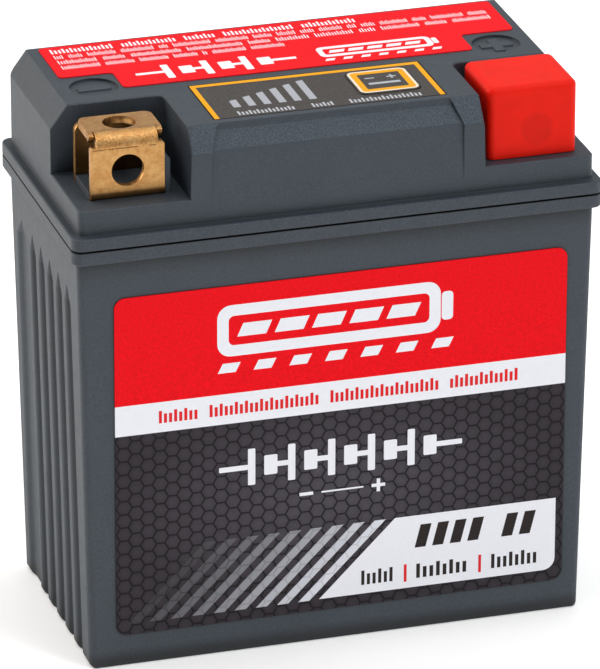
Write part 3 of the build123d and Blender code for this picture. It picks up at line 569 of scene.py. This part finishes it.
def hatch(x0, x1, y0, y1, count, fill, lean):
    """Row of slanted ticks that stands where a word would."""
    shift = lean * (y1 - y0)
    pitch = (x1 - x0 - shift) / (count - 1 + fill)
    return [[slanted(x0 + n * pitch, x0 + (n + fill) * pitch, y0, y1, lean)] for n in range(count)]


def hatch_words(x0, x1, y0, y1, words, fill, lean):
    """Groups of ticks with a gap of one tick between them."""
    pitch = (x1 - x0) / (sum(words) + len(words) - 1)
    shapes = []
    for count in words:
        shapes += hatch(x0, x0 + count * pitch, y0, y1, count, fill, lean)
        x0 += (count + 1) * pitch
    return shapes


SHORT_TICK = 0.76      # height of a short tick over a tall one
TALL_TICKS = (0, 3)    # which of every five ticks stand tall
TICK_CYCLE = 5


def small_print(x0, x1, y0, y1, words, per_letter=2, fill=0.55):
    """Line of fine upright ticks of two heights, with the grey of small print and no letters in it."""
    pitch = (x1 - x0) / (sum(words) + len(words) - 1)
    step = pitch / per_letter
    shapes, tick = [], 0
    for count in words:
        for n in range(count * per_letter):
            left = x0 + n * step
            top = y1 if tick % TICK_CYCLE in TALL_TICKS else y0 + (y1 - y0) * SHORT_TICK
            shapes.append([box_outline(left, left + step * fill, y0, top)])
            tick += 1
        x0 += (count + 1) * pitch
    return shapes


def printed(name, shapes, plane, surface, material, body="housing"):
    """Thin closed films. A shape is an outline with any holes, in mm on the plane."""
    matrix = plane @ Matrix.Scale(MM, 4)
    mesh = bpy.data.meshes.new(name)
    build = bmesh.new()
    for loops in shapes:
        rings = []
        for level in (surface - SUNK, surface - SUNK + INK):
            rings.append([[build.verts.new((x, y, level)) for x, y in loop] for loop in loops])
        triangles = tessellate_polygon([[Vector((x, y, 0)) for x, y in loop] for loop in loops])
        for level in rings:
            flat = [v for loop in level for v in loop]
            for triangle in triangles:
                build.faces.new([flat[i] for i in triangle])
        for low, high in zip(*rings):
            for n in range(len(low)):
                m = (n + 1) % len(low)
                build.faces.new([low[n], low[m], high[m], high[n]])
    bmesh.ops.recalc_face_normals(build, faces=build.faces)
    build.transform(matrix)
    build.to_mesh(mesh)
    build.free()
    mesh.materials.append(material)
    piece = bpy.data.objects.new(name, mesh)
    bpy.context.scene.collection.objects.link(piece)
    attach(piece, body)
    return piece


LABEL_THICK = 0.2


def upright_plane(node):
    """Plane of the front label's sloping outer face: X across, Y up the slope, Z outwards."""
    low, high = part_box(node)
    thick = LABEL_THICK * MM
    lean = math.atan2(high.y - low.y - thick, high.z - low.z)
    up = Vector((0, -math.sin(lean), math.cos(lean)))
    out = Vector((0, -math.cos(lean), -math.sin(lean)))
    across = Vector((1, 0, 0))
    origin = Vector((0, low.y, high.z)) - up * (high.z / up.z)
    origin += out * (Vector((0, low.y, high.z)) - origin).dot(out)
    return Matrix((
        (across.x, up.x, out.x, origin.x), (across.y, up.y, out.y, origin.y),
        (across.z, up.z, out.z, origin.z), (0, 0, 0, 1),
    ))


# The pictogram, in widths of its stroke.
POLE_REACH, SIGN_CORNER, SIGN_INNER_CORNER, POLE_CORNER, BAR_GAP = 1.1, 1.2, 0.5, 0.35, 0.75


def battery_sign(x0, x1, y0, y1, stroke, bars):
    """Battery pictogram: outline, pole, and slanted bars inside."""
    pole = (y1 - y0) * 0.22
    body = x1 - stroke * POLE_REACH
    shapes = [
        [box_outline(x0, body, y0, y1, stroke * SIGN_CORNER),
         box_outline(x0 + stroke, body - stroke, y0 + stroke, y1 - stroke, stroke * SIGN_INNER_CORNER)],
        [box_outline(body + 0.2, x1, y0 + pole, y1 - pole, stroke * POLE_CORNER)],
    ]
    gap = stroke * BAR_GAP
    inner0, inner1 = x0 + stroke + gap, body - stroke - gap
    low, high = y0 + stroke + gap, y1 - stroke - gap
    lean = 0.45
    pitch = (inner1 - inner0 - lean * (high - low) + gap) / bars
    for n in range(bars):
        shapes.append([slanted(inner0 + n * pitch, inner0 + (n + 1) * pitch - gap, low, high, lean)])
    return shapes


# The circuit symbol, from the left edge of a long plate.
LONG_PLATE, SHORT_PLATE = (0.0, 1.5), (3.3, 6.0)
SHORT_RISE = 0.27      # half height of a short plate over the height of a long one
LEAD_HALF = 0.55
LEAD_SHARE, LEAD_START = 1.1, 0.72


def cell_symbol(x0, x1, y0, y1, pairs):
    """Circuit symbol of a battery: long thin plates and short thick ones between two leads."""
    middle, rise = (y0 + y1) / 2, (y1 - y0) * SHORT_RISE
    pitch = (x1 - x0) / (pairs + LEAD_SHARE)
    start = x0 + pitch * LEAD_START
    end = SHORT_PLATE[1]

    def lead(left, right, corner):
        return [box_outline(left, right, middle - LEAD_HALF, middle + LEAD_HALF, corner)]

    shapes = []
    for n in range(pairs):
        left = start + n * pitch
        shapes.append([box_outline(left + LONG_PLATE[0], left + LONG_PLATE[1], y0, y1, 0.25)])
        short_left, short_right = left + SHORT_PLATE[0], left + end
        shapes.append([box_outline(short_left, short_right, middle - rise, middle + rise, 0.3)])
    shapes.append(lead(x0, start, 0.2))
    shapes.append(lead(start + (pairs - 1) * pitch + end, x1, 0.2))
    for n in range(pairs - 1):
        shapes.append(lead(start + n * pitch + end, start + (n + 1) * pitch, 0.0))
    return shapes


def plus(x, y, arm, width):
    """Plus sign about a point."""
    a, w = arm / 2, width / 2
    return [[(-a + x, -w + y), (-w + x, -w + y), (-w + x, -a + y), (w + x, -a + y), (w + x, -w + y),
             (a + x, -w + y), (a + x, w + y), (w + x, w + y), (w + x, a + y), (-w + x, a + y),
             (-w + x, w + y), (-a + x, w + y)]]


def minus(x, y, arm, width):
    return [box_outline(x - arm / 2, x + arm / 2, y - width / 2, y + width / 2)]


def print_front_label():
    plane = upright_plane("front_label")
    paper = film("ink_paper", PAPER, 0.015)
    red = film("ink_red", srgb(226, 30, 36), 0.05)
    dark = film("ink_dark", srgb(44, 36, 36), 0.08, 0.42)
    low, high, right = 8.9, 24.5, 45.3
    panel = rounded([(-3.7, low), (right, low), (right, high), (11.9, high)], [0, 2.5, 0, 0])
    printed("front_print_panel", [[panel]], plane, 0.0, paper)
    white = battery_sign(-24.5, 23.4, 63.6, 74.4, 2.3, 5)
    white += hatch_words(-24.4, 23.6, 60.2, 62.2, [7], 0.5, 0.5)
    white += cell_symbol(-24.2, 25.6, 35.6, 43.4, 5)
    sign_y, sign_size, sign_stroke = 32.2, 2.8, 0.7
    white += [minus(-6.4, sign_y, sign_size, sign_stroke), plus(8.4, sign_y, sign_size, sign_stroke)]
    white += [minus(1.0, sign_y, 8.6, sign_stroke / 2)]
    printed("front_print_white", white, plane, 0.0, paper)
    words = small_print(-36.3, 37.3, 51.2, 53.8, [4, 11, 11, 7], fill=0.6)
    printed("front_print_red", words, plane, 0.0, red)
    bar_half = 0.28
    bars = [[box_outline(x - bar_half, x + bar_half, 10.3, 14.1)] for x in (14.1, 29.6)]
    printed("front_print_bars", bars, plane, INK - SUNK, red)
    marks = hatch_words(16.0, 41.2, 17.5, 22.4, [4, 2], 0.62, 0.25)
    for x0, x1, count in ((5.0, 12.0, 3), (16.4, 27.4, 4), (32.0, 42.0, 4)):
        marks += small_print(x0, x1, 10.8, 13.9, [count])
    printed("front_print_dark", marks, plane, INK - SUNK, dark)


def flat_plane(z):
    return Matrix.Translation((0, 0, z))


def print_top_label():
    plane = flat_plane(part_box("top_label")[1].z)
    paper = film("ink_top_paper", PAPER, 0.02, 0.52)
    left, right, thin = -44.4, 44.6, 0.42
    marks = small_print(left, 18.3, 21.2, 23.5, [8, 7, 4, 9, 7])
    first_line = [2, 3, 6, 7, 2, 8, 7, 4, 4, 3, 5, 2, 3, 6, 3, 7, 4]
    marks += small_print(left, right, 18.3, 20.3, first_line, fill=thin)
    marks += small_print(left, right, 15.4, 17.4, [7, 4, 9, 10, 4, 6, 7, 3, 7, 4, 7], fill=thin)
    marks += small_print(left, 1.0, 12.5, 14.5, [8, 6, 6, 5, 1, 7, 7], fill=thin)
    marks += cell_symbol(-31.6, 1.0, 2.2, 9.4, 3)
    marks += battery_sign(5.8, 30.4, 4.2, 9.6, 1.15, 5)
    marks += hatch_words(5.9, 30.2, 2.2, 3.3, [7], 0.5, 0.5)
    printed("top_print_white", marks, plane, 0.0, paper)


def print_charge_panel():
    low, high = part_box("charge_panel")
    plane = flat_plane(high.z)
    x0, x1, y0, y1 = low.x / MM, high.x / MM, low.y / MM, high.y / MM
    side, back = 1.0, 1.2
    yellow = film("ink_yellow", FRAME_YELLOW)
    grey = film("ink_grey", srgb(186, 188, 194), 0.05)
    border = [
        (x0, y0), (x0 + side, y0), (x0 + side, y1 - back), (x1 - side, y1 - back),
        (x1 - side, y0), (x1, y0), (x1, y1), (x0, y1),
    ]
    printed("panel_print_yellow", [[border]], plane, 0.0, yellow)
    ticks = []
    for start, end, count in ((-18.2, -6.6, 5), (-3.3, 1.2, 2), (4.3, 19.0, 6)):
        ticks += small_print(start, end, y0 + 0.7, y0 + 2.7, [count], 3)
    printed("panel_print_grey", ticks, plane, 0.0, grey)


def print_key():
    """White outline, yellow frame and a plain line on the test key. They move with it."""
    low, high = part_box("test_button")
    plane = flat_plane(high.z)
    x0, x1, y0, y1 = low.x / MM, high.x / MM, low.y / MM, high.y / MM
    pale = film("ink_key_pale", srgb(240, 226, 206))
    yellow = film("ink_key_yellow", FRAME_YELLOW)
    grey = film("ink_key_grey", srgb(176, 180, 188), 0.05)

    def frame_shape(outer, inner, r_outer, r_inner):
        return [box_outline(x0 + outer, x1 - outer, y0 + outer, y1 - outer, r_outer),
                box_outline(x0 + inner, x1 - inner, y0 + inner, y1 - inner, r_inner)]

    outline = frame_shape(0.28, 0.78, 1.35, 0.9)
    printed("key_print_outline", [outline], plane, 0.0, pale, "key")
    inner_frame = frame_shape(0.78, 2.0, 0.9, 0.15)
    printed("key_print_frame", [inner_frame], plane, 0.0, yellow, "key")
    middle, line_half, sign_x, sign_y = (x0 + x1) / 2, 3.2, 2.2, y0 + 7.6
    sign_size, sign_stroke = 1.9, 0.45
    marks = [[box_outline(middle - line_half, middle + line_half, y0 + 4.2, y0 + 5.2)]]
    marks += [plus(middle + sign_x, sign_y, sign_size, sign_stroke)]
    marks += [minus(middle - sign_x, sign_y, sign_size, sign_stroke)]
    printed("key_print_marks", marks, plane, 0.0, grey, "key")


# ---------------------------------------------------------------- stage
def make_floor():
    """Large pale disc just under the base, in metres. It glows a little, like a lit backdrop."""
    radius, sides, drop, albedo, glow = 6.0, 96, 0.2 * MM, 0.95, 0.30
    build = bmesh.new()
    ring = [build.verts.new((radius * math.cos(a), radius * math.sin(a), -drop))
            for a in (2 * math.pi * n / sides for n in range(sides))]
    build.faces.new(ring)
    mesh = bpy.data.meshes.new("floor")
    build.to_mesh(mesh)
    build.free()
    s = Shader("floor_paper")
    s.set(Base_Color=s.mottled((albedo, albedo, albedo), 0.01, 60.0), Roughness=0.9)
    s.set(Specular_IOR_Level=0.1, Emission_Color=(1.0, 1.0, 1.0), Emission_Strength=glow)
    mesh.materials.append(s.material)
    floor = bpy.data.objects.new("floor", mesh)
    bpy.context.scene.collection.objects.link(floor)


WORLD_STRENGTH, DIM_STRENGTH = 0.58, 0.06
DIM_SIDE, DIM_FROM = (-0.75, -0.66, 0.0), 0.85


def make_world():
    """White surroundings, dimmer to the left in front so that the flutes keep their shadow side."""
    world = bpy.data.worlds.new("studio")
    world.use_nodes = True
    tree = world.node_tree
    background = tree.nodes["Background"]
    background.inputs["Color"].default_value = (1.0, 1.0, 1.0, 1.0)
    place = tree.nodes.new("ShaderNodeTexCoord")
    toward = tree.nodes.new("ShaderNodeVectorMath")
    toward.operation = "DOT_PRODUCT"
    toward.inputs[1].default_value = DIM_SIDE
    level = tree.nodes.new("ShaderNodeMapRange")
    level.interpolation_type = "SMOOTHSTEP"
    limits = {"From Min": 0.0, "From Max": DIM_FROM, "To Min": WORLD_STRENGTH, "To Max": DIM_STRENGTH}
    for name, value in limits.items():
        level.inputs[name].default_value = value
    tree.links.new(place.outputs["Generated"], toward.inputs[0])
    tree.links.new(toward.outputs["Value"], level.inputs["Value"])
    tree.links.new(level.outputs["Result"], background.inputs["Strength"])
    bpy.context.scene.world = world


def area_light(name, place, target, width, depth, power, colour=(1.0, 1.0, 1.0)):
    light = bpy.data.lights.new(name, "AREA")
    light.shape = "RECTANGLE"
    light.size = width
    light.size_y = depth
    light.energy = power
    light.color = colour
    lamp = bpy.data.objects.new(name, light)
    lamp.location = place
    lamp.rotation_mode = "QUATERNION"
    lamp.rotation_quaternion = (Vector(target) - Vector(place)).to_track_quat("-Z", "Y")
    bpy.context.scene.collection.objects.link(lamp)


def make_lights():
    middle = (0.0, 0.0, 0.07)
    area_light("overhead", (-0.15, 0.25, 1.2), middle, 1.3, 1.0, 5.8)
    area_light("key_spark", (0.30, -0.46, 1.1), middle, 0.28, 0.28, 3.4)
    area_light("left_window", (-1.05, 0.72, 0.5), middle, 0.35, 0.8, 8.6, (1.0, 0.90, 0.79))
    area_light("front_fill", (0.85, -1.5, 0.9), middle, 1.0, 0.8, 4.6, (0.92, 0.97, 1.0))


CAMERA_PLACE = (-0.3702, -1.2272, 0.6059)
CAMERA_RIGHT, CAMERA_LOOK = (0.95738, -0.28883, 0.0), (0.26535, 0.87955, -0.39494)
CAMERA_LENS = 378.85


def make_camera():
    """Long lens from above, in front and to the left."""
    data = bpy.data.cameras.new("camera")
    data.sensor_fit = "AUTO"
    data.sensor_width = 36.0
    data.lens = CAMERA_LENS
    data.clip_start, data.clip_end = 0.05, 50.0
    camera = bpy.data.objects.new("camera", data)
    right = Vector(CAMERA_RIGHT).normalized()
    look = Vector(CAMERA_LOOK).normalized()
    up = right.cross(look)
    place = Vector(CAMERA_PLACE)
    camera.matrix_world = Matrix((
        (right.x, up.x, -look.x, place.x), (right.y, up.y, -look.y, place.y),
        (right.z, up.z, -look.z, place.z), (0, 0, 0, 1),
    ))
    bpy.context.scene.collection.objects.link(camera)
    bpy.context.scene.camera = camera


# ---------------------------------------------------------------- build
paint_nodes()
soften("negative_terminal", BRASS_EDGE)
soften("positive_terminal", BRASS_EDGE)
print_front_label()
print_top_label()
print_charge_panel()
print_key()
make_floor()
make_world()
make_lights()
make_camera()
bpy.context.scene.view_settings.view_transform = "Standard"
